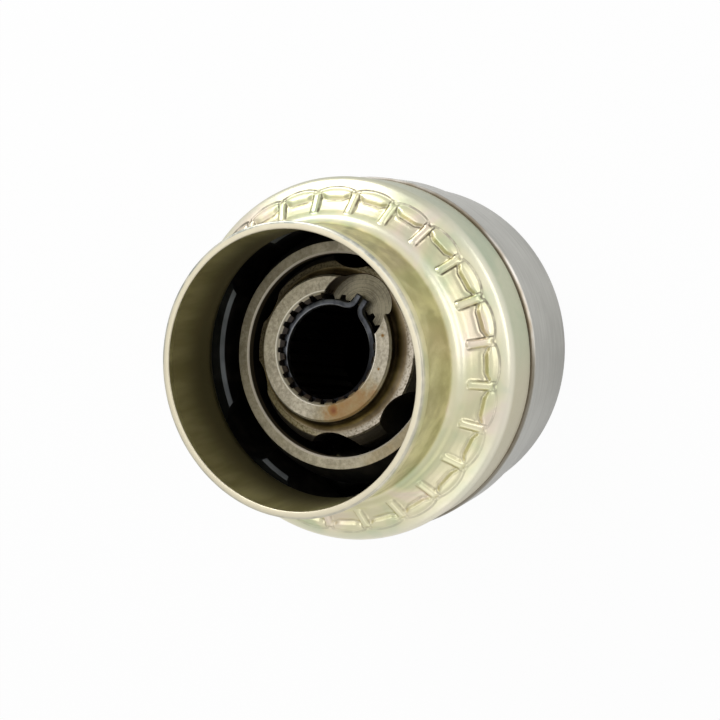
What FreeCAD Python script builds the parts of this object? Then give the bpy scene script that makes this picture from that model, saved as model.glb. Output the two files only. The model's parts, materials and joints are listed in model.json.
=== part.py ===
"""Ball-type plunging constant-velocity joint with a crimped sheet-steel boot cover.

Frame: the joint stands on its back face. Origin at the centre of that face, +Z along the
axis of the outer race towards the neck of the cover. +X is the side to which the inner race
leans when the joint lies at rest. Lengths are millimetres, angles degrees.
"""
import FreeCAD, Part
import math
import os
from FreeCAD import Placement, Rotation, Vector

os.makedirs("parts", exist_ok=True)

# ---- outer race ----
race_d = 102.5              # collar the cover is closed against
race_seat_d = 99.4          # ground outside behind the collar
race_body_length = 36.0     # from the back face to the crimp groove
collar_length = 13.4        # from the crimp groove backwards
crimp_groove_width = 1.4
crimp_groove_depth = 0.8    # below the spigot
spigot_d = 98.0             # turned seat of the boot cover
spigot_length = 13.7
race_edge_chamfer = 0.7
spigot_chamfer = 1.2
land_chamfer = 1.0
land_clearance = 0.4        # between the race lands and the cage

# ---- bolts in the back of the race ----
bolt_count = 6
bolt_circle_d = 86.0
thread_core_d = 6.8         # M8
thread_depth = 16.0
thread_countersink = 0.8
drill_point_angle = 118.0

# ---- balls and grooves ----
ball_count = 6
ball_d = 19.84
pitch_radius = 33.0         # distance of every groove's centre line from the race axis
groove_skew = 12.0          # lean of a groove from the race axis, alternating in sign
groove_clearance = 0.38     # groove radius minus ball radius
first_groove_angle = -18.0  # from +X

# ---- pose in which the joint lies at rest ----
rest_bend = 9.0             # between the axes of the two races
rest_extension = 12.4       # how far the inner race is drawn out

# ---- ball cage ----
cage_sphere_d = 76.4
cage_width = 43.4
cage_bore_d = 56.4
cage_relief_d = 61.2
cage_collar_width = 4.9
cage_edge_chamfer = 0.5
window_length = 26.0
window_corner_radius = 5.0
window_clearance = 0.1      # total, over the ball's diameter

# ---- inner race ----
hub_d = 40.2
hub_height = 4.6            # front hub above the shoulder
hub_chamfer = 0.5
hub_fillet = 2.8            # hollow between the hub and the shoulder
shoulder_d = 49.0
shoulder_drop = 0.4         # fall of the shoulder from the fillet to its rim
land_d = 56.0               # widest place of the barrel-shaped lands
land_end_d = 54.2
land_length = 23.0
land_bevel_height = 4.0     # height of the bevel between land and shoulder
rear_hub_height = 2.2
spline_teeth = 25
spline_root_d = 30.6
spline_tip_d = 28.0
spline_mouth_d = 31.4
spline_tooth_share = 0.42   # width of a tooth's tip as a share of the pitch
spline_root_share = 0.34    # width of a root as a share of the pitch

# ---- retaining ring and the relief milled for its ends ----
ring_wire = 1.7             # side of the wire's square section
ring_centre_d = 27.7        # to the middle of the wire
ring_offset = 1.03          # the ring rests in its groove on the side away from its ends
ring_depth = 3.4            # middle of the wire below the hub's face
ring_groove_d = 32.8
ring_groove_clearance = 0.2
ring_gap = 2.45             # between the middles of the two ends
ring_gap_angle = -47.3      # from the lean direction, about the inner race's axis
ring_end_reach = 18.0       # how far out the ends stand, from the ring's own centre
ring_end_bend = 1.6         # inside of the bend plus half a wire
relief_angle = -49.5
relief_cutter_d = 20.0
relief_centre_radius = 13.3
relief_drop = 0.8           # floor of the relief below the hub's foot

# ---- boot cover ----
cover_sheet = 1.5
neck_d = 75.8
neck_length = 18.0          # straight part that carries the boot
cone_angle = 34.4           # flank above the shoulder, from the horizontal
shoulder_radius = 4.0
neck_root_radius = 4.5
rim_chamfer = 0.45
skirt_gap = 0.8             # skirt's edge above the race body
skirt_chamfer = 0.6         # where the skirt's foot turns in
pad_count = 25
pad_depth = 1.1
pad_inner_d = 83.0
pad_outer_d = 95.8
rib_width = 2.3
pad_bow = 1.6               # height of the bowed outer end of a pad
first_rib_angle = -9.4      # from +X

# ---- cover seal ----
seal_section = 2.0          # square section
seal_height = 6.5           # middle of the seal below the race's front face
seal_groove_side_clearance = 0.2

# ---- end cap ----
cap_sheet = 1.2
cap_d = 95.0
cap_bolt_hole_d = 8.4
cap_dish_rise = 3.0
cap_dish_slope = 2.0        # inward run of the dish wall
cap_locating_clearance = 0.1

# ---- sizes that follow from the driving ones ----
race_back = cap_sheet
seam_height = race_back + race_body_length
race_length = race_body_length + crimp_groove_width + spigot_length
race_front = race_back + race_length
race_middle = race_back + race_length / 2
joint_height = race_middle + rest_extension / 2
joint_centre = Vector(0, 0, joint_height)
ball_r = ball_d / 2
groove_r = ball_r + groove_clearance
land_bore_r = cage_sphere_d / 2 + land_clearance
spigot_r = spigot_d / 2
inner_race_middle = rest_extension / 2
land_front = inner_race_middle + land_length / 2
land_rear = inner_race_middle - land_length / 2
hub_foot = land_front + land_bevel_height + shoulder_drop
hub_face = hub_foot + hub_height
rear_face = land_rear - land_bevel_height - rear_hub_height
ring_height = hub_face - ring_depth
MARGIN = 5.0                # how far cutting tools stand out of what they cut


def polar(radius, angle, z=0.0):
    return Vector(radius * math.cos(math.radians(angle)), radius * math.sin(math.radians(angle)), z)


def groove_angle(k):
    return first_groove_angle + 360.0 * k / ball_count


def groove_hand(k):
    """Neighbouring grooves lean opposite ways."""
    return 1 if k % 2 == 0 else -1


def leaned(shape, angle):
    """Turn a shape about the joint centre in the XZ plane, towards +X."""
    out = shape.copy()
    turn = Placement(Vector(0, 0, 0), Rotation(Vector(0, 1, 0), angle), joint_centre)
    out.Placement = turn.multiply(out.Placement)
    return out


def about_joint(shape):
    """Move a shape drawn about the joint centre to its height."""
    out = shape.copy()
    out.translate(joint_centre)
    return out


def rounded_profile(corners):
    """Closed face in the XZ plane from (radius, height, corner radius) corners."""
    edges = []
    count = len(corners)
    starts = []
    ends = []
    arcs = []
    for i, (x, z, corner_r) in enumerate(corners):
        here = Vector(x, 0, z)
        before = Vector(corners[i - 1][0], 0, corners[i - 1][1])
        after = Vector(corners[(i + 1) % count][0], 0, corners[(i + 1) % count][1])
        if corner_r <= 0:
            starts.append(here)
            ends.append(here)
            arcs.append(None)
            continue
        to_before = (before - here).normalize()
        to_after = (after - here).normalize()
        half = to_before.getAngle(to_after) / 2
        run = corner_r / math.tan(half)
        bisector = (to_before + to_after).normalize()
        centre = here + bisector * (corner_r / math.sin(half))
        starts.append(here + to_before * run)
        ends.append(here + to_after * run)
        arcs.append(Part.Arc(starts[-1], centre - bisector * corner_r, ends[-1]).toShape())
    for i in range(count):
        if arcs[i]:
            edges.append(arcs[i])
        next_start = starts[(i + 1) % count]
        if (next_start - ends[i]).Length > 1e-6:
            edges.append(Part.makeLine(ends[i], next_start))
    return Part.Face(Part.Wire(edges))


def turned(corners):
    """Solid of revolution about Z from a list of profile corners."""
    full = [c if len(c) == 3 else (c[0], c[1], 0) for c in corners]
    return rounded_profile(full).revolve(Vector(0, 0, 0), Vector(0, 0, 1), 360)


def skew_groove(k, middle, hand, reach):
    """Round cutter along one groove's straight, leaning centre line."""
    angle = groove_angle(k)
    along = polar(math.sin(math.radians(groove_skew)) * hand, angle + 90)
    along.z = math.cos(math.radians(groove_skew))
    start = polar(pitch_radius, angle, middle) - along * reach
    return Part.makeCylinder(groove_r, 2 * reach, start, along)


def ball_centre(k):
    """Where groove k of the outer race crosses the plane that halves the bend.

    The answer is in the cage's own directions, about the joint centre.
    """
    lean = math.radians(rest_bend / 2)
    angle = math.radians(groove_angle(k))
    rise = groove_hand(k) * math.tan(math.radians(groove_skew))
    offset = rest_extension / 2
    top = pitch_radius * math.cos(angle) - rise * offset * math.sin(angle)
    height = -math.tan(lean) * top / (1 - rise * math.sin(angle) * math.tan(lean))
    point = polar(pitch_radius, groove_angle(k), height)
    point += polar(rise * (height + offset), groove_angle(k) + 90)
    x = math.cos(lean) * point.x - math.sin(lean) * point.z
    return Vector(x, point.y, 0)


def bolt_angles():
    """The bolts stand in the lands, half way between two grooves."""
    return [first_groove_angle + 360.0 * (k + 0.5) / bolt_count for k in range(bolt_count)]


def outer_race():
    body_r = race_d / 2
    seat_r = race_seat_d / 2
    step = (body_r - seat_r) / 2
    groove_floor = spigot_r - crimp_groove_depth
    seal_floor = spigot_r - seal_section
    seal_z = race_front - seal_height
    seal_half = seal_section / 2 + seal_groove_side_clearance
    ring = turned([
        (land_bore_r + land_chamfer, race_back),
        (seat_r - race_edge_chamfer, race_back),
        (seat_r, race_back + race_edge_chamfer),
        (seat_r, seam_height - collar_length - step),
        (body_r, seam_height - collar_length),
        (body_r, seam_height - race_edge_chamfer),
        (body_r - race_edge_chamfer, seam_height),
        (groove_floor, seam_height),
        (groove_floor, seam_height + crimp_groove_width),
        (spigot_r, seam_height + crimp_groove_width),
        (spigot_r, seal_z - seal_half),
        (seal_floor, seal_z - seal_half),
        (seal_floor, seal_z + seal_half),
        (spigot_r, seal_z + seal_half),
        (spigot_r, race_front - spigot_chamfer),
        (spigot_r - spigot_chamfer, race_front),
        (land_bore_r + land_chamfer, race_front),
        (land_bore_r, race_front - land_chamfer),
        (land_bore_r, race_back + land_chamfer),
    ])
    cutters = [skew_groove(k, race_middle, groove_hand(k), race_length) for k in range(ball_count)]
    core_r = thread_core_d / 2
    point_length = core_r / math.tan(math.radians(drill_point_angle / 2))
    for angle in bolt_angles():
        foot = polar(bolt_circle_d / 2, angle, race_back)
        up = Vector(0, 0, 1)
        cutters.append(Part.makeCylinder(core_r, thread_depth, foot, up))
        cutters.append(Part.makeCone(core_r, 0, point_length, foot + up * thread_depth, up))
        cutters.append(Part.makeCone(core_r + thread_countersink, core_r, thread_countersink, foot, up))
    return ring.cut(cutters)


def cover_seal():
    low = race_front - seal_height - seal_section / 2
    high = low + seal_section
    floor_r = spigot_r - seal_section
    return turned([(floor_r, low), (spigot_r, low), (spigot_r, high), (floor_r, high)])


def cone_height(radius, drop=0.0):
    """Height of the cover's flank at a radius, or of a surface a given distance under it."""
    slope = math.radians(cone_angle)
    seat = race_front + (cover_sheet + pad_depth) / math.cos(slope)
    return seat + (spigot_r - spigot_chamfer - radius) * math.tan(slope) - drop / math.cos(slope)


def boot_cover():
    skirt_r = spigot_r + cover_sheet
    neck_r = neck_d / 2
    neck_inner = neck_r - cover_sheet
    foot = seam_height + skirt_gap
    under = cover_sheet + pad_depth
    root = cone_height(neck_r)
    bend_run = neck_root_radius * math.tan(math.radians(90 - cone_angle) / 2)
    rim = root + bend_run + neck_length
    sheet = turned([
        (skirt_r - skirt_chamfer, foot),
        (skirt_r, foot + skirt_chamfer),
        (skirt_r, cone_height(skirt_r), shoulder_radius),
        (neck_r, root, neck_root_radius),
        (neck_r, rim - rim_chamfer),
        (neck_r - rim_chamfer, rim),
        (neck_inner + rim_chamfer, rim),
        (neck_inner, rim - rim_chamfer),
        (neck_inner, cone_height(neck_inner, under), neck_root_radius + cover_sheet),
        (spigot_r, cone_height(spigot_r, under)),
        (spigot_r, foot, 0),
    ])
    return sheet.cut(pad_cutters())


def pad_cutters():
    """One cutter for each pressed pad in the flank, between the ribs."""
    slope = math.radians(cone_angle)
    inner_r = pad_inner_d / 2
    outer_r = pad_outer_d / 2
    pitch = math.pi / pad_count
    half_in = inner_r * math.sin(pitch) - rib_width / 2
    half_out = outer_r * math.sin(pitch) - rib_width / 2
    length = (outer_r - inner_r) / math.cos(slope)
    outline = [
        Part.makeLine(Vector(0, -half_in, 0), Vector(length - pad_bow, -half_out, 0)),
        Part.Arc(Vector(length - pad_bow, -half_out, 0), Vector(length, 0, 0),
                 Vector(length - pad_bow, half_out, 0)).toShape(),
        Part.makeLine(Vector(length - pad_bow, half_out, 0), Vector(0, half_in, 0)),
        Part.makeLine(Vector(0, half_in, 0), Vector(0, -half_in, 0)),
    ]
    block = Part.Face(Part.Wire(outline)).extrude(Vector(0, 0, pad_depth + MARGIN))
    block.Placement = Placement(Vector(inner_r, 0, cone_height(inner_r, pad_depth)),
                                Rotation(Vector(0, 1, 0), cone_angle))
    cutters = []
    for k in range(pad_count):
        pad = block.copy()
        pad.rotate(Vector(0, 0, 0), Vector(0, 0, 1), first_rib_angle + 360.0 * (k + 0.5) / pad_count)
        cutters.append(pad)
    return cutters


def end_cap():
    """Sheet disc with six bolt holes and a shallow dish that enters the bore of the race."""
    dish_r = land_bore_r - cap_locating_clearance
    floor_r = dish_r - cap_dish_slope
    disc = Part.makeCylinder(cap_d / 2, cap_sheet)
    dish = Part.makeCone(dish_r, floor_r, cap_dish_rise, Vector(0, 0, cap_sheet))
    hollow = Part.makeCone(dish_r - cap_sheet, floor_r - cap_sheet, cap_dish_rise)
    holes = [Part.makeCylinder(cap_bolt_hole_d / 2, cap_sheet, polar(bolt_circle_d / 2, angle))
             for angle in bolt_angles()]
    return disc.fuse(dish).cut([hollow] + holes)


def window_cutter():
    half_length = window_length / 2
    half_height = (ball_d + window_clearance) / 2
    outline = rounded_profile([
        (-half_length, -half_height, window_corner_radius),
        (half_length, -half_height, window_corner_radius),
        (half_length, half_height, window_corner_radius),
        (-half_length, half_height, window_corner_radius),
    ])
    block = outline.extrude(Vector(0, cage_sphere_d / 2 + MARGIN, 0))
    block.rotate(Vector(0, 0, 0), Vector(0, 0, 1), -90)
    return block


def ball_cage():
    half = cage_width / 2
    sphere_r = cage_sphere_d / 2
    face_r = math.sqrt(sphere_r ** 2 - half ** 2)
    bore_r = cage_bore_d / 2
    relief_r = cage_relief_d / 2
    collar = half - cage_collar_width
    step = relief_r - bore_r
    shell = Part.makeSphere(sphere_r)
    shell = shell.common(Part.makeCylinder(sphere_r + MARGIN, cage_width, Vector(0, 0, -half)))
    inside = turned([
        (0, -half - MARGIN),
        (bore_r + cage_edge_chamfer, -half - MARGIN),
        (bore_r + cage_edge_chamfer, -half),
        (bore_r, -half + cage_edge_chamfer),
        (bore_r, -collar - step),
        (relief_r, -collar),
        (relief_r, collar),
        (bore_r, collar + step),
        (bore_r, half - cage_edge_chamfer),
        (bore_r + cage_edge_chamfer, half),
        (bore_r + cage_edge_chamfer, half + MARGIN),
        (0, half + MARGIN),
    ])
    cutters = [inside]
    for k in range(ball_count):
        window = window_cutter()
        window.rotate(Vector(0, 0, 0), Vector(0, 0, 1), groove_angle(k))
        cutters.append(window)
    if face_r <= bore_r:
        raise ValueError("the cage's bore is wider than its face")
    return leaned(about_joint(shell.cut(cutters)), rest_bend / 2)


def spline_section():
    """Internal spline outline: tooth tips on the small circle, roots on the large one."""
    tip_r = spline_tip_d / 2
    root_r = spline_root_d / 2
    pitch = 360.0 / spline_teeth
    tip_half = pitch * spline_tooth_share / 2
    root_half = pitch * spline_root_share / 2
    edges = []
    for i in range(spline_teeth):
        tooth = i * pitch
        gap = tooth + pitch / 2
        edges.append(Part.Arc(polar(tip_r, tooth - tip_half), polar(tip_r, tooth),
                              polar(tip_r, tooth + tip_half)).toShape())
        edges.append(Part.makeLine(polar(tip_r, tooth + tip_half), polar(root_r, gap - root_half)))
        edges.append(Part.Arc(polar(root_r, gap - root_half), polar(root_r, gap),
                              polar(root_r, gap + root_half)).toShape())
        edges.append(Part.makeLine(polar(root_r, gap + root_half),
                                   polar(tip_r, tooth + pitch - tip_half)))
    return Part.Face(Part.Wire(edges))


def inner_race_blank():
    hub_r = hub_d / 2
    end_r = land_end_d / 2
    shoulder_r = shoulder_d / 2
    corners = [
        Vector(0, 0, rear_face),
        Vector(hub_r - hub_chamfer, 0, rear_face),
        Vector(hub_r, 0, rear_face + hub_chamfer),
        Vector(hub_r, 0, rear_face + rear_hub_height),
        Vector(shoulder_r, 0, rear_face + rear_hub_height),
        Vector(end_r, 0, land_rear),
    ]
    upper = [
        Vector(end_r, 0, land_front),
        Vector(shoulder_r, 0, land_front + land_bevel_height),
        Vector(hub_r + hub_fillet, 0, hub_foot),
    ]
    crown = [
        Vector(hub_r, 0, hub_foot + hub_fillet),
        Vector(hub_r, 0, hub_face - hub_chamfer),
        Vector(hub_r - hub_chamfer, 0, hub_face),
        Vector(0, 0, hub_face),
        corners[0],
    ]
    edges = [Part.makeLine(a, b) for a, b in zip(corners, corners[1:])]
    barrel = Part.Arc(corners[-1], Vector(land_d / 2, 0, inner_race_middle), upper[0])
    edges.append(barrel.toShape())
    edges += [Part.makeLine(a, b) for a, b in zip(upper, upper[1:])]
    hollow = hub_fillet * (1 - math.sqrt(0.5))
    edges.append(Part.Arc(upper[-1], Vector(hub_r + hollow, 0, hub_foot + hollow), crown[0]).toShape())
    edges += [Part.makeLine(a, b) for a, b in zip(crown, crown[1:])]
    return Part.Face(Part.Wire(edges)).revolve(Vector(0, 0, 0), Vector(0, 0, 1), 360)


def inner_race():
    blank = inner_race_blank()
    length = hub_face - rear_face
    reach = length + MARGIN
    cutters = [skew_groove(k, inner_race_middle, -groove_hand(k), reach) for k in range(ball_count)]
    bore = spline_section()
    bore.translate(Vector(0, 0, rear_face - MARGIN))
    cutters.append(bore.extrude(Vector(0, 0, length + 2 * MARGIN)))
    mouth_r = spline_mouth_d / 2
    tip_r = spline_tip_d / 2
    chamfer = mouth_r - tip_r
    up = Vector(0, 0, 1)
    cutters.append(Part.makeCone(tip_r, mouth_r, chamfer, Vector(0, 0, hub_face - chamfer), up))
    cutters.append(Part.makeCone(mouth_r, tip_r, chamfer, Vector(0, 0, rear_face), up))
    groove_width = ring_wire + ring_groove_clearance
    groove_foot = Vector(0, 0, ring_height - groove_width / 2)
    cutters.append(Part.makeCylinder(ring_groove_d / 2, groove_width, groove_foot, up))
    relief = polar(relief_centre_radius, relief_angle, hub_foot - relief_drop)
    relief_height = relief_drop + hub_height + MARGIN
    cutters.append(Part.makeCylinder(relief_cutter_d / 2, relief_height, relief, up))
    return leaned(about_joint(blank.cut(cutters)), rest_bend)


def retaining_ring():
    """Open wire ring whose two ends are bent outwards into the relief."""
    centre_r = ring_centre_d / 2
    bend_centre = centre_r + ring_end_bend
    bend_shift = math.degrees(math.asin(ring_end_bend / bend_centre))
    end_foot = math.sqrt(bend_centre ** 2 - ring_end_bend ** 2)
    half_gap = math.degrees(math.asin(ring_gap / 2 / end_foot))
    first = ring_gap_angle + half_gap
    last = ring_gap_angle - half_gap + 360

    def bend(end_angle, side):
        """Quarter bend between a radial end and the round of the ring."""
        centre = polar(bend_centre, end_angle + side * bend_shift)
        on_end = polar(end_foot, end_angle)
        on_ring = polar(centre_r, end_angle + side * bend_shift)
        middle = ((on_end - centre) + (on_ring - centre)).normalize() * ring_end_bend + centre
        return on_end, middle, on_ring

    a_end, a_middle, a_ring = bend(first, 1)
    b_end, b_middle, b_ring = bend(last, -1)
    path = Part.Wire([
        Part.makeLine(polar(ring_end_reach, first), a_end),
        Part.Arc(a_end, a_middle, a_ring).toShape(),
        Part.Arc(a_ring, polar(centre_r, (first + last) / 2), b_ring).toShape(),
        Part.Arc(b_ring, b_middle, b_end).toShape(),
        Part.makeLine(b_end, polar(ring_end_reach, last)),
    ])
    start = polar(ring_end_reach, first)
    side = polar(ring_wire / 2, first + 90)
    rise = Vector(0, 0, ring_wire / 2)
    section = Part.makePolygon([start + side + rise, start - side + rise, start - side - rise,
                                start + side - rise, start + side + rise])
    ring = path.makePipeShell([section], True, True)
    ring.translate(polar(-ring_offset, ring_gap_angle, ring_height))
    return leaned(about_joint(ring), rest_bend)


def ball(k):
    return leaned(about_joint(Part.makeSphere(ball_r, ball_centre(k))), rest_bend / 2)


nodes = {
    "outer_race": outer_race(),
    "boot_cover": boot_cover(),
    "cover_seal": cover_seal(),
    "end_cap": end_cap(),
    "ball_cage": ball_cage(),
    "inner_race": inner_race(),
    "retaining_ring": retaining_ring(),
}
for k in range(ball_count):
    nodes["ball_%d" % (k + 1)] = ball(k)

for name, shape in nodes.items():
    shape.exportStep("parts/%s.step" % name)
    box = shape.BoundBox
    print("%-15s solids %d valid %s volume %.1f z %.2f..%.2f" %
          (name, len(shape.Solids), shape.isValid(), shape.Volume, box.ZMin, box.ZMax))
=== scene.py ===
"""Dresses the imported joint: the pressed cover, the wire ring, the finishes, the light and the camera."""
import json
import math
import bmesh
import bpy
from mathutils import Euler, Matrix, Vector


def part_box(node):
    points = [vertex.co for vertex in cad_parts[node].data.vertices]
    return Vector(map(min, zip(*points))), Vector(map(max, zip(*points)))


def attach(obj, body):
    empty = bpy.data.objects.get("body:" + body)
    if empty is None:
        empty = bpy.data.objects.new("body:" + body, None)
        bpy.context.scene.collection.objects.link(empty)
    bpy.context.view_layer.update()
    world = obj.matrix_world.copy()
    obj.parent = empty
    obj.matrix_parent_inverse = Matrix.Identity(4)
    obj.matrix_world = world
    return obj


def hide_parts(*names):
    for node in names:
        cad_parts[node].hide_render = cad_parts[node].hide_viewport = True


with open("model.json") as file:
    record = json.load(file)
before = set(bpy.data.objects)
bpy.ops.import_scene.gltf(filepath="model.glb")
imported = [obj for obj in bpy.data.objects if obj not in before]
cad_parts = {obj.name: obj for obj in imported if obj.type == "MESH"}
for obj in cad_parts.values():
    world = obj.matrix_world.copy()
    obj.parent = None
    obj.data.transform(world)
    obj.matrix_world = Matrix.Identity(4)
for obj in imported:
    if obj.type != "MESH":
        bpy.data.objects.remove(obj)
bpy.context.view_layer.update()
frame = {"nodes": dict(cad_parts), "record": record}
nodes = frame["nodes"]

# ---- sizes, in metres ----
MM = 0.001

# boot cover
PITCH_COUNT = 25                      # pressed fields round the cover's flank
FIRST_RIB = math.radians(-9.4)        # from +X
SHEET = 1.5 * MM
CONE_ANGLE = math.radians(34.4)       # flank, from the horizontal
SHOULDER_RADIUS = 3.0 * MM
NECK_ROOT_RADIUS = 4.5 * MM
NECK_LENGTH = 18.0 * MM
NECK_R = 37.9 * MM
NECK_INNER_R = NECK_R - SHEET
PRESS_DEPTH = 1.1 * MM

# inner race and cage: heights are measured from the joint's centre, along the leaning axis of each
LEAN = math.radians(9.0)              # inner race at rest, towards +X; the cage leans half as far
JOINT_CENTRE = Vector((0, 0, 32.95 * MM))
HUB_FACE = 26.7 * MM
HUB_FOOT = 22.1 * MM
HUB_R = 20.1 * MM
STAR_RIM = 21.7 * MM                  # outer edge of the shoulder that the hub stands on
STAR_RIM_R = 24.5 * MM
MOUTH_R = 15.7 * MM                   # wide end of the chamfer that leads into the spline
RELIEF_FLOOR = 21.3 * MM
RELIEF_R = 10.0 * MM
RELIEF_REACH = 13.3 * MM              # middle of the relief, from the inner race's axis
RELIEF_ANGLE = math.radians(-49.5)    # about that axis, from the side it leans to
CAGE_FRONT = 21.7 * MM
CAGE_BORE_R = 28.2 * MM

# retaining ring
RING_R = 13.85 * MM
RING_OFFSET = 1.03 * MM               # the ring rests in its groove on the side away from its ends
RING_WIRE = 1.7 * MM
RING_HEIGHT = 23.3 * MM               # above the joint's centre, along the inner race
RING_REACH = 18.0 * MM
RING_HALF_GAP = math.radians(4.1)
RING_GAP_ANGLE = math.radians(-47.3)

cover_low, cover_high = (Vector(corner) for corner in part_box("boot_cover"))
_, race_high = (Vector(corner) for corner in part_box("outer_race"))
SKIRT_R = cover_high.x
SKIRT_FOOT = cover_low.z
RIM = cover_high.z
SPIGOT_R = SKIRT_R - SHEET
ROOT = RIM - NECK_LENGTH - NECK_ROOT_RADIUS * math.tan((math.pi / 2 - CONE_ANGLE) / 2)
RACE_FRONT = race_high.z
RACE_R = race_high.x

# camera
CAMERA_PLACE = (-4.61 * MM, -139.92 * MM, 317.30 * MM)
CAMERA_AHEAD = (0.0115, 0.4507, -0.8926)
CAMERA_UP = (0.9724, -0.2129, -0.0950)
LENS = 54.0                           # millimetres, before a sensor 36 mm wide

# light: name, place, width and height of each soft box, and the brightness of its face
LAMPS = (
    ("top_box", (0.62, 0.15, 0.36), 0.50, 0.50, 3.1),
    ("right_box", (0.10, -0.72, 0.30), 0.70, 0.30, 1.3),
    ("over_box", (0.12, 0.16, 0.76), 0.50, 0.46, 1.0),
    ("low_box", (-0.55, -0.10, 0.40), 0.40, 0.40, 0.5))
LAMP_AIM = Vector((0, 0, 0.045))
FLOOR_HALF = 3.0


def cone_height(radius, below=0.0):
    """Height of the flank at a radius, or of the line a distance below it."""
    return ROOT + (NECK_R - radius) * math.tan(CONE_ANGLE) - below / math.cos(CONE_ANGLE)


SHOULDER = cone_height(SKIRT_R)


# ---- node trees, written as sums ----
class Wire:
    """An output of a node. Sums on wires add the Math nodes that work them out."""

    def __init__(self, tree, socket):
        self.tree, self.socket = tree, socket

    def maths(self, operation, *others):
        return self.tree.node("ShaderNodeMath", {"operation": operation}, [self, *others])

    def after(self, operation, first):
        return self.tree.node("ShaderNodeMath", {"operation": operation}, [first, self])

    def __add__(self, other):
        return self.maths("ADD", other)

    def __sub__(self, other):
        return self.maths("SUBTRACT", other)

    def __rsub__(self, other):
        return self.after("SUBTRACT", other)

    def __mul__(self, other):
        return self.maths("MULTIPLY", other)

    def __truediv__(self, other):
        return self.maths("DIVIDE", other)

    def __rtruediv__(self, other):
        return self.after("DIVIDE", other)

    def __pow__(self, other):
        return self.maths("POWER", other)

    __radd__ = __add__
    __rmul__ = __mul__

    def largest(self, other):
        return self.maths("MAXIMUM", other)

    def clamped(self):
        return self.step(0.0, 1.0, "LINEAR")

    def step(self, start, end, shape="SMOOTHSTEP", low=0.0, high=1.0):
        """From low at start to high at end, level beyond them."""
        return self.tree.node("ShaderNodeMapRange", {"interpolation_type": shape, "clamp": True},
                              {0: self, 1: start, 2: end, 3: low, 4: high})

    def past(self, edge, start, end):
        """0 short of an edge and 1 past it. The change runs from start to end, in mm from the edge."""
        return self.step(edge + start * MM, edge + end * MM)

    def short_of(self, edge, start, end):
        """1 short of an edge and 0 past it, with start and end as in past."""
        return 1 - self.past(edge, start, end)

    def strip(self, edge, start, end, soft):
        """1 from start to end, in mm from an edge, with borders that fade over soft mm to each side."""
        return (self.past(edge, start - soft, start + soft)
                * self.short_of(edge, end - soft, end + soft))


class Tree:
    """A node tree that is built by calls."""

    def __init__(self, node_tree):
        self.tree = node_tree
        self.tree.nodes.clear()

    def node(self, kind, settings=None, sockets=(), output=0):
        """Adds a node, with its settings by name and its sockets by place or name: a value or a wire."""
        made = self.tree.nodes.new(kind)
        for name, value in (settings or {}).items():
            if name == "stops":
                ramp = made.color_ramp
                while len(ramp.elements) < len(value):
                    ramp.elements.new(0.5)
                for element, (place, colour) in zip(ramp.elements, value):
                    element.position, element.color = place, (*colour, 1)
            else:
                setattr(made, name, value)
        pairs = sockets.items() if isinstance(sockets, dict) else enumerate(sockets)
        for key, value in pairs:
            socket = made.inputs[key]
            if isinstance(value, Wire):
                self.tree.links.new(value.socket, socket)
            else:
                socket.default_value = value
        return Wire(self, made.outputs[output]) if made.outputs else None

    def outputs(self, kind, **how):
        """Adds a node and gives all its outputs."""
        return self.node(kind, **how).socket.node.outputs

    # -- what a material reads --
    def place(self, turn=None, centre=None):
        """Object coordinates, turned back about a centre where a part leans."""
        spot = self.node("ShaderNodeTexCoord", output="Object")
        if turn is None:
            return spot
        back = Euler((0, -turn, 0)).to_matrix()
        shift = -(back @ centre)
        return self.node("ShaderNodeMapping", {"vector_type": "POINT"},
                         {"Vector": spot, "Location": shift, "Rotation": (0, -turn, 0)})

    def parts(self, vector):
        return [Wire(self, out) for out in self.outputs("ShaderNodeSeparateXYZ", sockets=[vector])]

    def attribute(self, name):
        return self.node("ShaderNodeAttribute", {"attribute_name": name}, output="Fac")

    def rays(self):
        """Whether the camera sees a surface itself, and whether it sees it in gloss or glass."""
        kinds = self.outputs("ShaderNodeLightPath")
        seen, glossy, through = (Wire(self, kinds[name]) for name in (
            "Is Camera Ray", "Is Glossy Ray", "Is Transmission Ray"))
        return seen, (glossy + through).clamped()

    # -- patterns --
    def noise(self, vector, scale, detail=2.0, roughness=0.5, distortion=0.0):
        """Cloudy pattern about 0.5, with so many features to a metre."""
        return self.node("ShaderNodeTexNoise", sockets={
            "Vector": vector, "Scale": scale, "Detail": detail, "Roughness": roughness,
            "Distortion": distortion})

    def streaks(self, vector, scale, detail=3.0, roughness=0.6):
        """Noise with a scale for each axis, drawn out along those with a low one."""
        stretched = self.node("ShaderNodeVectorMath", {"operation": "MULTIPLY"}, [vector, scale])
        return self.noise(stretched, 1.0, detail, roughness)

    def turning(self, radius, height, fineness):
        """Tool marks that run in circles."""
        section = self.node("ShaderNodeCombineXYZ", sockets=[radius, height, 0.0])
        return self.streaks(section, (fineness, fineness, 0), 2.0, 0.5)

    # -- colour and surface --
    def mixed(self, first, second, share):
        """Two colours, the second by its share."""
        named = [(*c, 1) if isinstance(c, tuple) else c for c in (first, second)]
        return self.node("ShaderNodeMix", {"data_type": "RGBA", "clamp_factor": True},
                         {0: share, 6: named[0], 7: named[1]}, output=2)

    def ramp(self, value, stops):
        return self.node("ShaderNodeValToRGB", {"stops": stops}, [value])

    def bump(self, height, distance, strength, normal=None):
        """Bump by a height, with the distance in mm, over what another bump gives."""
        sockets = {"Height": height, "Distance": distance * MM, "Strength": strength}
        if normal is not None:
            sockets["Normal"] = normal
        return self.node("ShaderNodeBump", sockets=sockets)


def away(x, y):
    """Distance from an axis."""
    return (x * x + y * y) ** 0.5


def around(reach, angle):
    """Place at a reach and an angle."""
    return reach * math.cos(angle), reach * math.sin(angle)


def new_material(name):
    material = bpy.data.materials.new(name)
    material.use_nodes = True
    return material, Tree(material.node_tree)


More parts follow.
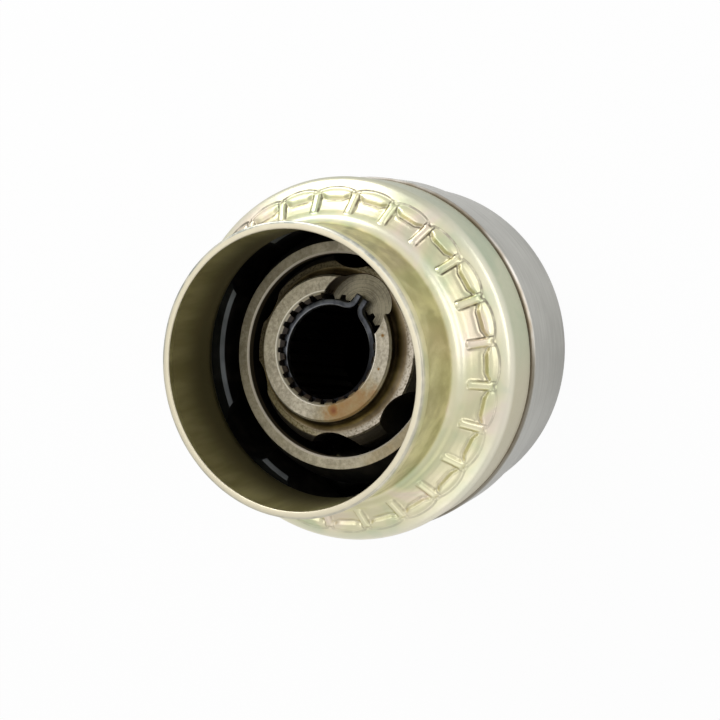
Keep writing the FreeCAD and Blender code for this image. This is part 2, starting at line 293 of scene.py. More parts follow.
def finish(tree, colour, roughness, metallic, normal):
    """Closes a material's tree with its shader."""
    shader = tree.node("ShaderNodeBsdfPrincipled", sockets={
        "Base Color": colour, "Roughness": roughness, "Metallic": metallic, "Normal": normal})
    tree.node("ShaderNodeOutputMaterial", sockets=[shader])


# ---- finishes ----
def zinc_cover():
    """Cover: zinc under a thin yellow film, drawn and pressed, with painted shade and painted highlights in
    its colour.
    """
    material, tree = new_material("yellow_zinc_cover")
    spot = tree.place()
    x, y, z = tree.parts(spot)
    radius = away(x, y)
    film = tree.noise(spot, 75, 2.0, 0.55, 0.6)
    patch = tree.streaks(spot, (190, 190, 110))
    outside = radius.past(NECK_R, -0.9, -0.3)
    neck = z.past(ROOT, 1.0, 3.0)

    # the film's tints; grey-green on the skirt, partly the film's tint and partly a painted reflection of
    # darker surroundings, and warmer on its -X side
    colour = tree.ramp(film, [
        (0.30, (0.62, 0.67, 0.43)), (0.44, (0.79, 0.76, 0.50)), (0.56, (0.86, 0.80, 0.56)),
        (0.66, (0.88, 0.76, 0.61)), (0.78, (0.70, 0.71, 0.52))])
    grey_green = tree.mixed((0.44, 0.50, 0.345), (0.53, 0.56, 0.385), film.step(0.35, 0.65))
    grey_green = tree.mixed((0.60, 0.55, 0.39), grey_green, x.past(0, -22, -1))
    colour = tree.mixed(colour, grey_green, z.short_of(SKIRT_FOOT, 13, 17) * 0.9)

    # the neck, olive with brown patches of painted shade on its +X side, paler above the step under the rim
    olive = tree.mixed((0.42, 0.38, 0.18), (0.74, 0.71, 0.42),
                       (0.65 * film + 0.35 * patch).step(0.38, 0.62))
    brown = tree.mixed(olive, (0.20, 0.165, 0.07), patch.step(0.36, 0.66) * x.past(0, 5, 30) * 0.9)
    colour = tree.mixed(colour, brown, neck * outside * (0.85 - 0.45 * z.past(RIM, -4.2, -3.6)))

    # the pressed fields: darker with the pressing's depth as painted shade in the recesses, and painted
    # shade along their crease lines, broken into patches and weaker on the -X side
    colour = tree.mixed(colour, (0.56, 0.50, 0.34), tree.attribute("press").step(0.35, 1.0) * 0.35)
    mark_share = tree.noise(spot, 260, 3.0, 0.6).step(0.36, 0.6, low=0.4, high=1.0)
    fading = x.step(-32 * MM, 10 * MM, low=0.35, high=1.0)
    colour = tree.mixed(colour, (0.15, 0.125, 0.08),
                        tree.attribute("crease").step(0.25, 0.85) * mark_share * fading)

    # the hollow round the neck's root: a painted highlight on its +X side and painted shade on its -X side
    hollow = radius.strip(NECK_R, 0.8, 4.0, 0.8) * z.past(ROOT, -3, 0) * outside
    colour = tree.mixed(colour, (0.88, 0.88, 0.76), hollow * x.past(0, -30, 0) * 0.6)
    colour = tree.mixed(colour, (0.50, 0.46, 0.24), hollow * x.short_of(0, -34, -12) * 0.6)

    # inside, darker with depth: painted shade
    inner = tree.mixed((0.50, 0.46, 0.21), (0.76, 0.72, 0.38),
                       tree.streaks(spot, (160, 160, 25)).step(0.3, 0.7))
    inner = tree.mixed((0.22, 0.20, 0.10), inner, z.past(RIM, -17, -2))
    colour = tree.mixed(inner, colour, outside)

    # the rim's face, and its outer edge greyer, most on its +X side
    colour = tree.mixed(colour, (0.70, 0.64, 0.50), z.past(RIM, -0.45, -0.2) * 0.9)
    corner = radius.past(NECK_R, -0.75, -0.55) * z.past(RIM, -1.3, -0.9)
    dull = tree.mixed((0.30, 0.33, 0.31), (0.62, 0.61, 0.52), patch.step(0.38, 0.6))
    colour = tree.mixed(colour, dull, corner * (0.35 + 0.5 * x.past(0, 0, 25)))

    # the shoulder with a painted highlight, painted shade just outside it on its +X side, and a painted
    # highlight on the skirt's rounded foot
    shoulder = z.strip(SHOULDER, -1.6, 1.4, 1.8)
    colour = tree.mixed(colour, (0.94, 0.90, 0.78), shoulder * outside * (1 - neck) * 0.65)
    painted_top_shade = z.short_of(SHOULDER, -0.6, 2.2) * x.past(0, 16, 40)
    colour = tree.mixed(colour, (0.40, 0.41, 0.29), painted_top_shade * outside * 0.65)
    colour = tree.mixed(colour, (0.86, 0.77, 0.69), z.short_of(SKIRT_FOOT, 0.5, 1.0) * outside * 0.8)

    fine = tree.noise(spot, 900, 3.0, 0.6)
    normal = tree.bump(tree.noise(spot, 140), 0.25, 0.35)
    normal = tree.bump(tree.noise(spot, 2600), 0.03, 0.5, normal)
    normal = tree.bump(tree.streaks(spot, (2600, 2600, 60), 2.0, 0.5), 0.02, 0.5, normal)
    finish(tree, colour, 0.26 + 0.16 * fine + 0.10 * (1 - outside), 1.0, normal)
    return material


def ground_steel():
    """Race: ground bare outside, oily and dark inside."""
    material, tree = new_material("ground_race_steel")
    spot = tree.place()
    x, y, z = tree.parts(spot)
    outside = away(x, y).past(RACE_R, -3.2, -2.4)
    rings = tree.streaks(spot, (25, 25, 5200))
    broad = tree.noise(spot, 40, 3.0, 0.55)
    streak = tree.streaks(spot, (60, 60, 900), 3.0, 0.55)
    shade = tree.mixed((0.38, 0.375, 0.34), (0.51, 0.505, 0.465),
                       (0.5 * broad + 0.12 * rings + 0.38 * streak).step(0.34, 0.66))

    # the collar's edge under the skirt: a pale painted highlight on its chamfer, mottled with stain, and a
    # dark line of painted shadow in the gap, wider on the -X side
    seam = z.strip(SKIRT_FOOT, -1.35, 0.2, 0.2)
    stain = tree.noise(spot, 70, 3.0, 0.6).step(0.40, 0.65)
    shade = tree.mixed(shade, tree.mixed((0.80, 0.75, 0.69), (0.38, 0.29, 0.19), stain), seam * 0.7)
    line = z.strip(SKIRT_FOOT, -1.0, -0.5, 0.15) * 0.75
    shade = tree.mixed(shade, (0.13, 0.11, 0.065), (seam * x.short_of(0, -14, 4) * 0.75).largest(line))

    # inside, black with oil, with the mouth of the bore and the lands' ends a little lighter as a painted
    # glint
    oil = tree.noise(spot, 160, 4.0, 0.6)
    black = tree.mixed((0.010, 0.009, 0.008), (0.05, 0.043, 0.035), oil.step(0.4, 0.75))
    front = z.past(RACE_FRONT, -1.2, -0.8)
    black = tree.mixed(black, (0.13, 0.14, 0.145), front * (0.55 + 0.45 * broad.step(0.45, 0.6)))
    colour = tree.mixed(black, shade, outside)

    normal = tree.bump(rings, 0.006, 0.6)
    normal = tree.bump(broad, 0.4, 0.12, normal)
    finish(tree, colour, 0.26 + 0.12 * rings + 0.10 * (1 - outside),
           0.3 + 0.7 * outside.largest(front), normal)
    return material


def rusted(tree, spot, colour, sector, marks, where):
    """Lays rust over a sector (towards x, y; cosines where it starts and is full; strength) and in
    patches (x, y, reach, strength), in mm in the part's own frame. Gives the colour and the cover."""
    grain = tree.noise(spot, 420, 4.0, 0.65)
    x, y, _ = tree.parts(spot)
    way_x, way_y, start, full, level = sector
    cover = ((x * way_x + y * way_y) / away(x, y) + 0.25 * (grain - 0.5)).step(start, full) * level
    for mark_x, mark_y, reach, strength in marks:
        gap = away(x - mark_x * MM, y - mark_y * MM) / (reach * MM)
        patch = (1 - (gap + 0.8 * (grain - 0.5)).step(-0.1, 1.0)) * strength
        cover = cover.largest(patch)
    cover = cover * where
    tint = tree.ramp(cover + 0.55 * (grain - 0.5), [
        (0.10, (0.40, 0.35, 0.21)), (0.42, (0.38, 0.28, 0.12)),
        (0.72, (0.36, 0.19, 0.065)), (0.95, (0.25, 0.08, 0.025))])
    share = cover.step(0.0, 0.65) * (0.55 + 0.45 * cover.step(0.4, 0.7))
    return tree.mixed(colour, tint, share), cover.clamped()


def machined_steel():
    """Inner race: turned front, milled relief, brown hollow round the hub as painted shade, black bore
    darkening with depth as painted shade, and black lands.
    """
    material, tree = new_material("turned_race_steel")
    spot = tree.place(LEAN, JOINT_CENTRE)
    x, y, z = tree.parts(spot)
    radius = away(x, y)
    relief_x, relief_y = around(RELIEF_REACH, RELIEF_ANGLE)
    milled = away(x - relief_x, y - relief_y)
    grain = tree.noise(spot, 1500, 4.0, 0.65)
    cloud = tree.noise(spot, 130, 3.0, 0.6)
    turning = tree.turning(radius, z, 5200)
    cutting = tree.turning(milled, z, 4200)
    under = z.short_of(HUB_FACE, -0.8, -0.4)
    deep = z.short_of(STAR_RIM, -0.8, -0.2)
    in_relief = milled.short_of(RELIEF_R, -0.1, 0.05) * z.short_of(HUB_FOOT, -0.1, 0.2)
    elsewhere = 1 - in_relief

    # the hub's face; below it a brown hollow of painted shade; the shoulder's rim lighter as a painted
    # highlight; the sides below the rim near black, partly their black oily finish and partly painted shade
    mottle = (0.6 * tree.noise(spot, 900, 3.0, 0.7) + 0.4 * cloud).step(0.36, 0.64)
    face = tree.mixed((0.29, 0.26, 0.20), (0.53, 0.48, 0.38), mottle)
    hollow = tree.mixed((0.085, 0.062, 0.034), (0.20, 0.155, 0.09), cloud.step(0.35, 0.7))
    rim = tree.mixed((0.20, 0.17, 0.125), (0.46, 0.41, 0.33), grain.step(0.36, 0.56))
    dark = tree.mixed((0.012, 0.010, 0.009), (0.055, 0.045, 0.035), cloud.step(0.4, 0.75))
    colour = tree.mixed(face, hollow, under)
    colour = tree.mixed(colour, rim, under * radius.past(STAR_RIM_R, -2.2, -0.8))
    colour = tree.mixed(colour, dark, deep * 0.93)

    # the relief's wall and floor
    wall = milled.strip(RELIEF_R, -0.15, 0.2, 0.05) * under * z.past(RELIEF_FLOOR, 0.2, 0.5)
    colour = tree.mixed(colour, (0.035, 0.020, 0.014), wall)
    floor = tree.mixed((0.17, 0.15, 0.105), (0.35, 0.315, 0.225),
                       (0.3 * cutting + 0.4 * cloud + 0.3 * grain).step(0.38, 0.60))
    colour = tree.mixed(colour, floor, in_relief * z.past(RELIEF_FLOOR, -0.2, -0.05))

    # the bore, darker with depth as painted shade, and painted highlights on the chamfer at its mouth and
    # on the edge round the hub
    mouth = radius.short_of(MOUTH_R, -0.2, -0.08) * elsewhere
    bore = tree.mixed((0.030, 0.021, 0.016), (0.085, 0.06, 0.045), cloud.step(0.4, 0.7))
    bore = tree.mixed((0.006, 0.005, 0.004), bore, z.past(HUB_FACE, -6.7, -1.2))
    colour = tree.mixed(colour, bore, mouth)
    chamfer = radius.strip(MOUTH_R, -0.8, 0.15, 0.08) * z.past(HUB_FACE, -1.0, -0.7) * elsewhere
    bright = tree.mixed((0.40, 0.36, 0.285), (0.82, 0.78, 0.68), radius.past(MOUTH_R, -0.25, -0.1))
    colour = tree.mixed(colour, bright, chamfer)
    brim = radius.strip(HUB_R, -0.1, 0.2, 0.08) * z.past(HUB_FACE, -1.2, -0.9)
    colour = tree.mixed(colour, (0.66, 0.61, 0.50), brim)

    marks = [(-17.3, 0.3, 4.2, 1.0), (-16.6, -2.6, 6.5, 0.68), (-0.6, -17.9, 0.9, 0.9),
             (-9.1, -15.1, 0.8, 0.9), (1.5, -18.3, 0.5, 0.7)]
    colour, rust = rusted(tree, spot, colour, (-0.968, -0.25, 0.66, 0.99, 0.60), marks,
                          z.past(HUB_FACE, -1.2, -0.5))
    # oily: where the sides and bore are black, partly with oil and partly with painted shade; it makes them
    # less metallic
    oily = deep.largest(mouth * (1 - chamfer))
    normal = tree.bump(grain, 0.06, 0.5)
    normal = tree.bump(turning + (cutting - turning) * in_relief, 0.014, 0.6, normal)
    finish(tree, colour, 0.48 + 0.14 * grain + 0.15 * rust - 0.22 * under * elsewhere,
           (1 - 0.8 * rust) * (1 - 0.6 * oily), normal)
    return material


def cage_steel():
    """Ball cage: ground front face with a painted highlight on its bore's corner, brown just inside it and
    black deeper in as painted shade, the rest dark and oily.
    """
    material, tree = new_material("hardened_cage_steel")
    spot = tree.place(LEAN / 2, JOINT_CENTRE)
    x, y, z = tree.parts(spot)
    radius = away(x, y)
    grain = tree.noise(spot, 1300, 3.0, 0.6)
    cloud = tree.noise(spot, 110, 3.0, 0.6)
    front = z.past(CAGE_FRONT, -0.25, -0.05)
    mottle = (0.6 * tree.noise(spot, 900, 3.0, 0.7) + 0.4 * cloud).step(0.36, 0.64)
    face = tree.mixed((0.30, 0.27, 0.205), (0.50, 0.45, 0.355), mottle)
    dark = tree.mixed((0.010, 0.009, 0.008), (0.05, 0.042, 0.034), cloud.step(0.4, 0.75))
    # painted shade: the bore's wall brown near the front and black deeper in
    inside = radius.short_of(CAGE_BORE_R, 0.6, 0.8) * z.past(CAGE_FRONT, -7.7, -2.2)
    dark = tree.mixed(dark, (0.13, 0.10, 0.06), inside)
    colour = tree.mixed(dark, face, front)
    # painted highlight on the corner at the bore's mouth
    corner = radius.short_of(CAGE_BORE_R, 0.4, 0.65) * z.past(CAGE_FRONT, -0.55, -0.4)
    colour = tree.mixed(colour, (0.72, 0.66, 0.55), corner)
    marks = [(-27.5, -11.0, 5.0, 0.5), (-20.0, 22.0, 5.0, 0.25)]
    colour, rust = rusted(tree, spot, colour, (-0.86, -0.51, 0.80, 0.96, 0.40), marks, front)
    normal = tree.bump(tree.turning(radius, z, 3800), 0.012, 0.7)
    normal = tree.bump(grain, 0.03, 0.4, normal)
    finish(tree, colour, 0.47 + 0.12 * grain + 0.12 * rust, (1 - 0.6 * rust) * (0.4 + 0.6 * front), normal)
    return material


def spring_steel():
    """Retaining ring: blackened wire, blackest on its -X side as painted shade, and lighter along its inner
    side on its +X side, partly wear and partly a painted highlight.
    """
    material, tree = new_material("blackened_wire")
    spot = tree.place(LEAN, JOINT_CENTRE)
    x, y, _ = tree.parts(spot)
    shift_x, shift_y = around(RING_OFFSET, RING_GAP_ANGLE)
    radius = away(x + shift_x, y + shift_y)
    cloud = tree.noise(spot, 300, 4.0, 0.6)
    upper = x.past(0, -9, 3)
    colour = tree.mixed((0.030, 0.032, 0.037), (0.10, 0.105, 0.115), cloud.step(0.35, 0.7))
    # painted shade: the -X side blacker
    colour = tree.mixed((0.010, 0.010, 0.011), colour, upper)
    mark_share = radius.short_of(RING_R - RING_WIRE / 2, 0.05, 0.4)
    # inner side lighter on the +X side only: partly wear and partly a painted highlight
    colour = tree.mixed(colour, (0.30, 0.31, 0.33), mark_share * upper * cloud.step(0.25, 0.55) * 0.7)
    normal = tree.bump(tree.noise(spot, 2400), 0.02, 0.5)
    finish(tree, colour, 0.32 + 0.15 * cloud, 1.0, normal)
    return material


def ball_steel():
    """Balls: polished, with an oil film and darker smears."""
    material, tree = new_material("polished_ball_steel")
    spot = tree.place()
    smear = tree.noise(spot, 90, 4.0, 0.6)
    colour = tree.mixed((0.05, 0.047, 0.042), (0.30, 0.29, 0.27), smear.step(0.42, 0.75))
    normal = tree.bump(tree.noise(spot, 1200), 0.01, 0.3)
    finish(tree, colour, 0.12 + 0.12 * smear, 1.0, normal)
    return material


def seal_rubber():
    """Seal in the race's groove: black rubber, matt."""
    material, tree = new_material("black_seal_rubber")
    spot = tree.place()
    bloom = tree.noise(spot, 240, 4.0, 0.6)
    colour = tree.mixed((0.012, 0.012, 0.012), (0.035, 0.034, 0.033), bloom.step(0.4, 0.7))
    normal = tree.bump(tree.noise(spot, 2600), 0.02, 0.5)
    finish(tree, colour, 0.62 + 0.15 * bloom, 0.0, normal)
    return material


def zinc_cap():
    """End cap: the cover's finish on plain sheet, black with oil on its inner side."""
    material, tree = new_material("yellow_zinc_cap")
    spot = tree.place()
    z = tree.parts(spot)[2]
    film = tree.noise(spot, 45, 2.0, 0.55, 0.5)
    fine = tree.noise(spot, 700, 3.0, 0.6)
    colour = tree.ramp(film, [
        (0.32, (0.58, 0.62, 0.44)), (0.46, (0.76, 0.73, 0.50)), (0.60, (0.84, 0.76, 0.55)),
        (0.72, (0.80, 0.68, 0.56))])
    oil = tree.mixed((0.008, 0.007, 0.006), (0.03, 0.026, 0.02),
                     tree.noise(spot, 150, 3.0, 0.6).step(0.4, 0.7))
    colour = tree.mixed(colour, oil, z.past(0, 3.5, 4.0))
    normal = tree.bump(tree.noise(spot, 90), 0.4, 0.3)
    normal = tree.bump(tree.streaks(spot, (60, 3200, 60), 2.0, 0.5), 0.015, 0.6, normal)
    finish(tree, colour, 0.26 + 0.16 * fine, 1.0, normal)
    return material


FINISHES = {
    "ground_steel": ground_steel(), "zinc_cover": zinc_cover(), "seal_rubber": seal_rubber(),
    "zinc_cap": zinc_cap(), "cage_steel": cage_steel(), "machined_steel": machined_steel(),
    "spring_steel": spring_steel(), "ball_steel": ball_steel()}

for part in frame["record"]["subparts"]:
    mesh = nodes[part["node"]].data
    mesh.materials.clear()
    mesh.materials.append(FINISHES[part["material_slot"]])


# ---- pieces grown by Geometry Nodes ----
def new_group(name, inputs):
    """Geometry Nodes tree with a geometry in and out and named inputs: the group, its tree and a wire
    for the geometry and for each input."""
    group = bpy.data.node_groups.new(name, "GeometryNodeTree")
    group.interface.new_socket("Geometry", in_out="INPUT", socket_type="NodeSocketGeometry")
    for label, kind in inputs:
        group.interface.new_socket(label, in_out="INPUT", socket_type="NodeSocket" + kind)
    group.interface.new_socket("Geometry", in_out="OUTPUT", socket_type="NodeSocketGeometry")
    tree = Tree(group)
    given = tree.outputs("NodeGroupInput")
    return group, tree, [Wire(tree, given[i]) for i in range(len(inputs) + 1)]


def hand_over(tree, geometry, material):
    """Ends a Geometry Nodes tree: smooth faces in a material."""
    shaded = tree.node("GeometryNodeSetShadeSmooth", sockets=[geometry])
    done = tree.node("GeometryNodeSetMaterial", sockets={"Geometry": shaded, "Material": material})
    tree.node("NodeGroupOutput", sockets=[done])


def grown(name, source, group, inputs):
    """Runs a node tree on an object's data and gives the plain mesh as a new object."""
    seed = bpy.data.objects.new(name + "_seed", source)
    bpy.context.scene.collection.objects.link(seed)
    modifier = seed.modifiers.new("pattern", "NODES")
    modifier.node_group = group
    for item in group.interface.items_tree:
        if item.item_type == "SOCKET" and item.in_out == "INPUT" and item.name in inputs:
            modifier[item.identifier] = inputs[item.name]
    bpy.context.view_layer.update()
    made = seed.evaluated_get(bpy.context.evaluated_depsgraph_get())
    mesh = bpy.data.meshes.new_from_object(made)
    seed.modifiers.remove(modifier)
    bpy.data.objects.remove(seed)
    piece = bpy.data.objects.new(name, mesh)
    mesh.name = name
    bpy.context.scene.collection.objects.link(piece)
    return piece


def close_up(piece):
    """Welds a piece's doubles and points its faces outwards."""
    mesh = bmesh.new()
    mesh.from_mesh(piece.data)
    bmesh.ops.remove_doubles(mesh, verts=mesh.verts, dist=1e-6)
    bmesh.ops.recalc_face_normals(mesh, faces=mesh.faces)
    mesh.to_mesh(piece.data)
    mesh.free()


# ---- pressed cover ----
def rounded_loop(corners):
    """Points of a closed line through rounded corners (r, z, radius, arc steps, line steps)."""
    count = len(corners)
    arcs = []
    for i, (r, z, radius, arc_steps, line_steps) in enumerate(corners):
        here = Vector((r, z))
        before = (Vector(corners[i - 1][:2]) - here).normalized()
        after = (Vector(corners[(i + 1) % count][:2]) - here).normalized()
        half = math.acos(max(-1.0, min(1.0, before.dot(after)))) / 2
        run = radius / math.tan(half)
        centre = here + (before + after).normalized() * (radius / math.sin(half))
        arcs.append((here + before * run, here + after * run, centre, arc_steps, line_steps))
    points = []
    for i, (start, end, centre, arc_steps, line_steps) in enumerate(arcs):
        spoke = start - centre
        turn = spoke.angle_signed(end - centre)
        for step in range(arc_steps + 1):
            angle = -turn * step / arc_steps
            points.append(centre + Vector((spoke.x * math.cos(angle) - spoke.y * math.sin(angle),
                                           spoke.x * math.sin(angle) + spoke.y * math.cos(angle))))
        next_start = arcs[(i + 1) % count][0]
        for step in range(1, line_steps):
            points.append(end.lerp(next_start, step / line_steps))
    return points


def smooth(start, end, value):
    share = max(0.0, min(1.0, (value - start) / (end - start)))
    return share * share * (3 - 2 * share)


def hump(value, middle, width):
    return math.exp(-((value - middle) / width) ** 2)


def pressing(way, across, half_pitch):
    """Height of the pressed flank and how creased it is. All in mm: way runs in from the shoulder,
    across is -1 to 1 over a field."""
    aside = abs(across)
    side = (1 - aside) * half_pitch                 # from the middle line of the nearest rib
    rib_end, field_end, dent = 9.4, 11.8, 3.1       # along the way; the dent is in the rib's outer end
    floor = -1.0 + 0.25 * smooth(6.4, 10.0, way)
    crease = 1.7 + 1.1 * aside ** 2.4               # bowed outer end of the field
    foot = 5.85 - 0.9 * smooth(0.4, 0.75, aside)    # inner end of the pillow
    rib = 1 - smooth(0.5, 1.5, math.hypot(side, 1.25 * max(0.0, way - rib_end)))
    opened = smooth(crease - 0.1, crease + 0.6, way)
    closed = 1 - smooth(field_end - 3.0, field_end, way)

    top = -0.50 + 0.54 * smooth(crease - 0.6, crease + 2.1, way)
    pillow = top + (floor - top) * smooth(foot - 1.35, foot, way)
    gap = smooth(0.70, 0.95, aside)                 # between the pillow and the rib
    field = pillow + (0.85 * floor - pillow) * gap
    field += 0.12 * hump(way, foot + 0.75, 0.4) * (1 - gap)
    level = field * opened * closed * (1 - rib)
    level += 0.15 * rib * smooth(crease + 0.6, crease + 2.2, way) * closed
    level -= 0.45 * hump(way, dent, 0.5) * (1 - smooth(0.2, 1.2, side))

    inside = smooth(crease - 0.4, crease + 0.6, way) * (1 - smooth(9.6, 11.0, way))
    # line: a mask of the crease lines, which the cover's finish darkens as painted shade
    line = max(
        hump(way, crease + 0.15, 0.35) * (1 - smooth(0.9, 1.0, aside)),
        hump(side, 1.25, 0.32) * inside,
        0.8 * hump(way, foot, 0.35) * (1 - gap),
        0.9 * hump(way, dent, 0.45) * (1 - smooth(0.3, 1.1, side)))
    return level, line


def cover_profile():
    """Section of the sheet: up the skirt, in along the flank, up the neck, and back inside."""
    under = SHEET + PRESS_DEPTH                     # inner side of the flank, clear of the pressing
    flank_steps = 54
    drawn_in = 0.3 * MM                             # neck below its top, against the top
    rolled = 0.55 * MM                              # rim's inner edge, against the neck's inside
    return rounded_loop([
        (SKIRT_R - 0.6 * MM, SKIRT_FOOT, 0.2 * MM, 2, 1),
        (SKIRT_R, SKIRT_FOOT + 0.9 * MM, 0.8 * MM, 4, 4),
        (SKIRT_R, SHOULDER, SHOULDER_RADIUS, 10, flank_steps),
        (NECK_R - drawn_in, ROOT + 0.2 * MM, NECK_ROOT_RADIUS, 12, 4),
        (NECK_R - drawn_in, RIM - 4.4 * MM, 1.0 * MM, 3, 1),
        (NECK_R, RIM - 3.4 * MM, 1.0 * MM, 3, 2),
        (NECK_R, RIM, 0.5 * MM, 4, 1),
        (NECK_INNER_R - rolled, RIM, 0.35 * MM, 3, 2),
        (NECK_INNER_R - rolled, RIM - 1.6 * MM, 0.5 * MM, 3, 1),
        (NECK_INNER_R, RIM - 2.6 * MM, 0.5 * MM, 3, 3),
        (NECK_INNER_R, cone_height(NECK_INNER_R, under), NECK_ROOT_RADIUS + SHEET, 8, 3),
        (SPIGOT_R, cone_height(SPIGOT_R, under), 1.0 * MM, 3, 2),
        (SPIGOT_R, SKIRT_FOOT, 0.2 * MM, 2, 1)])


def cover_unit():
    """One field of the cover, from rib to rib, as a loop of sheet open at its two sides."""
    columns = 26
    along = Vector((-math.cos(CONE_ANGLE), math.sin(CONE_ANGLE)))
    out = Vector((math.sin(CONE_ANGLE), math.cos(CONE_ANGLE)))
    shoulder_run = SHOULDER_RADIUS * math.tan((math.pi / 2 - CONE_ANGLE) / 2)
    flank_start = Vector((SKIRT_R, SHOULDER)) + along * shoulder_run
    mesh = bmesh.new()
    # press carries the pressing's depth and crease its crease lines; the cover's finish darkens both as
    # painted shade
    depth = mesh.verts.layers.float.new("press")
    creases = mesh.verts.layers.float.new("crease")
    grid = []
    for point in cover_profile():
        way = (point - flank_start).dot(along) / MM
        on_flank = ((point - flank_start).dot(out) > -0.9 * SHEET and point.x > NECK_R - 0.5 * MM
                    and flank_start.y - 2 * MM < point.y < RIM - 6 * MM)
        row = []
        for column in range(columns + 1):
            share = 2 * column / columns - 1
            across = 1.25 * share - 0.25 * share ** 3        # closer together near the ribs
            angle = across * math.pi / PITCH_COUNT
            r, z, level, line = point.x, point.y, 0.0, 0.0
            if on_flank:
                level, line = pressing(way, across, r / MM * math.pi / PITCH_COUNT)
                r += out.x * level * MM
                z += out.y * level * MM
            vert = mesh.verts.new((r * math.cos(angle), r * math.sin(angle), z))
            vert[depth] = max(0.0, -level)
            vert[creases] = line
            row.append(vert)
        grid.append(row)
    for row, above in zip(grid, grid[1:] + grid[:1]):
        for column in range(columns):
            mesh.faces.new((row[column], row[column + 1], above[column + 1], above[column]))
    data = bpy.data.meshes.new("cover_unit")
    mesh.to_mesh(data)
    mesh.free()
    return data


def ring_pattern(material):
    """Node tree that sets a unit round the Z axis, joins the copies and makes the sheet a little uneven."""
    group, tree, (unit, count, first, uneven, weld) = new_group("ring_of_fields", (
        ("Count", "Int"), ("First angle", "Float"), ("Unevenness", "Float"), ("Weld distance", "Float")))
    line = tree.node("GeometryNodeMeshLine", {"mode": "OFFSET"}, {"Count": count, "Offset": (0, 0, 0)})
    turn = (tree.node("GeometryNodeInputIndex") + 0.5) * (2 * math.pi / count) + first
    angles = tree.node("ShaderNodeCombineXYZ", sockets=[0.0, 0.0, turn])
    turned = tree.node("FunctionNodeEulerToRotation", sockets=[angles])
    copies = tree.node("GeometryNodeInstanceOnPoints",
                       sockets={"Points": line, "Instance": unit, "Rotation": turned})
    solid = tree.node("GeometryNodeRealizeInstances", sockets=[copies])
    welded = tree.node("GeometryNodeMergeByDistance", sockets={"Geometry": solid, "Distance": weld})
    waver = tree.noise(tree.node("GeometryNodeInputPosition"), 55, 1.0) - 0.5
    normal = tree.node("GeometryNodeInputNormal")
    push = tree.node("ShaderNodeVectorMath", {"operation": "SCALE"}, {0: normal, "Scale": waver * uneven})
    moved = tree.node("GeometryNodeSetPosition", sockets={"Geometry": welded, "Offset": push})
    hand_over(tree, moved, material)
    return group


cover = grown("pressed_cover", cover_unit(), ring_pattern(FINISHES["zinc_cover"]),
              {"Count": PITCH_COUNT, "First angle": FIRST_RIB, "Unevenness": 0.12 * MM,
               "Weld distance": 2e-6})
close_up(cover)
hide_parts("boot_cover")
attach(cover, "housing")


# ---- retaining ring ----
def ring_path():
    """Line of the wire, flat about the bore's axis: an end, the round of the ring, and the other end."""
    curve = bpy.data.curves.new("ring_line", "CURVE")
    curve.dimensions = "3D"
    curve.resolution_u = 8
    half_gap = 1.225 * MM
    bend = 0.12                                     # angle, in radians, left to the bend at each end
    turns = 34
    start, end = RING_HALF_GAP + bend, 2 * math.pi - RING_HALF_GAP - bend
    bend_start, bend_middle = 16.4 * MM, 14.9 * MM
    ends = [(RING_REACH, half_gap), (bend_start, half_gap), (bend_middle, half_gap + 0.1 * MM)]
    round_part = [around(RING_R, start + (end - start) * i / turns) for i in range(turns + 1)]
    places = ends + round_part + [(x, -y) for x, y in reversed(ends)]
    line = curve.splines.new("NURBS")
    line.points.add(len(places) - 1)
    turn = Matrix.Rotation(RING_GAP_ANGLE, 2)
    for point, (x, y) in zip(line.points, places):
        point.co = (*(turn @ Vector((x - RING_OFFSET, y))), 0, 1)
    line.order_u = 3
    line.use_endpoint_u = True
    return curve


def wire_along(material):
    """Node tree that draws a square wire with rounded edges along a flat line and leans it into place."""
    group, tree, (line, wire, edge, height, lean, centre) = new_group("wire_along_line", (
        ("Wire", "Float"), ("Edge radius", "Float"), ("Height", "Float"), ("Lean", "Float"),
        ("Centre", "Vector")))
    square = tree.node("GeometryNodeCurvePrimitiveQuadrilateral", {"mode": "RECTANGLE"},
                       {"Width": wire, "Height": wire})
    section = tree.node("GeometryNodeFilletCurve", {"mode": "POLY"},
                        {"Curve": square, "Radius": edge, "Count": 3})
    swept = tree.node("GeometryNodeCurveToMesh",
                      sockets={"Curve": line, "Profile Curve": section, "Fill Caps": True})
    lift = tree.node("ShaderNodeCombineXYZ", sockets=[0.0, 0.0, height])
    raised = tree.node("GeometryNodeTransform", sockets={"Geometry": swept, "Translation": lift})
    angles = tree.node("ShaderNodeCombineXYZ", sockets=[0.0, lean, 0.0])
    turned = tree.node("FunctionNodeEulerToRotation", sockets=[angles])
    leaned = tree.node("GeometryNodeTransform",
                       sockets={"Geometry": raised, "Translation": centre, "Rotation": turned})
    hand_over(tree, leaned, material)
    return group


ring = grown("wire_ring", ring_path(), wire_along(FINISHES["spring_steel"]),
             {"Wire": RING_WIRE, "Edge radius": 0.3 * MM, "Height": RING_HEIGHT, "Lean": LEAN,
              "Centre": JOINT_CENTRE})
close_up(ring)
edges = ring.modifiers.new("edges", "BEVEL")
edges.width = 0.15 * MM
edges.segments = 2
edges.limit_method = "ANGLE"
edges.angle_limit = math.radians(50)
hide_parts("retaining_ring")
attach(ring, "inner")


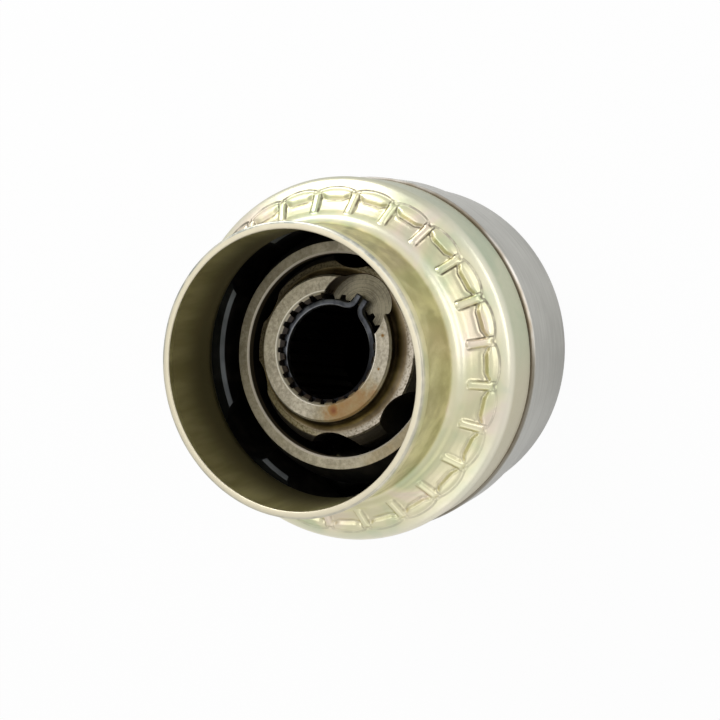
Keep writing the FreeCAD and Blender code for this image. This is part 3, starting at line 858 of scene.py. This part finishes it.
# ---- floor, light and camera ----
def stage():
    """Pale floor that shows white where it is seen directly and keeps the shadow."""
    mesh = bpy.data.meshes.new("floor")
    mesh.from_pydata([(x * FLOOR_HALF, y * FLOOR_HALF, 0) for x, y in ((-1, -1), (1, -1), (1, 1), (-1, 1))],
                     [], [(0, 1, 2, 3)])
    floor = bpy.data.objects.new("floor", mesh)
    bpy.context.scene.collection.objects.link(floor)
    material, tree = new_material("pale_floor")
    seen, mirrored = tree.rays()
    matt = tree.node("ShaderNodeBsdfDiffuse", sockets={"Color": (0.9, 0.9, 0.9, 1)})
    white = tree.node("ShaderNodeEmission", sockets={"Color": (1, 1, 1, 1), "Strength": 1.0})
    mix = tree.node("ShaderNodeMixShader", sockets=[(seen * 0.96 + mirrored * 0.45).clamped(), matt, white])
    tree.node("ShaderNodeOutputMaterial", sockets=[mix])
    mesh.materials.append(material)


def sky():
    """Even light from all round, white where it is seen directly."""
    world = bpy.data.worlds.new("studio")
    bpy.context.scene.world = world
    world.use_nodes = True
    tree = Tree(world.node_tree)
    seen, mirrored = tree.rays()
    strength = 0.42 + seen * 0.58 + mirrored * 0.32
    back = tree.node("ShaderNodeBackground", sockets={"Color": (1, 1, 1, 1), "Strength": strength})
    tree.node("ShaderNodeOutputWorld", sockets=[back])


def lamp(name, place, width, height, level):
    """Soft box whose face has the given brightness."""
    data = bpy.data.lights.new(name, "AREA")
    data.shape = "RECTANGLE"
    data.size, data.size_y = width, height
    data.energy = level * math.pi * width * height
    lit = bpy.data.objects.new(name, data)
    bpy.context.scene.collection.objects.link(lit)
    lit.location = place
    lit.rotation_euler = (LAMP_AIM - Vector(place)).to_track_quat("-Z", "Y").to_euler()


def camera():
    data = bpy.data.cameras.new("view")
    data.sensor_width = 36.0
    data.lens = LENS
    data.clip_start = 0.01
    view = bpy.data.objects.new("view", data)
    bpy.context.scene.collection.objects.link(view)
    ahead = Vector(CAMERA_AHEAD).normalized()
    right = ahead.cross(Vector(CAMERA_UP)).normalized()
    up = right.cross(ahead)
    turn = Matrix((right, up, -ahead)).transposed().to_4x4()
    view.matrix_world = Matrix.Translation(CAMERA_PLACE) @ turn
    bpy.context.scene.camera = view


stage()
sky()
for settings in LAMPS:
    lamp(*settings)
camera()
bpy.context.scene.view_settings.view_transform = "Standard"
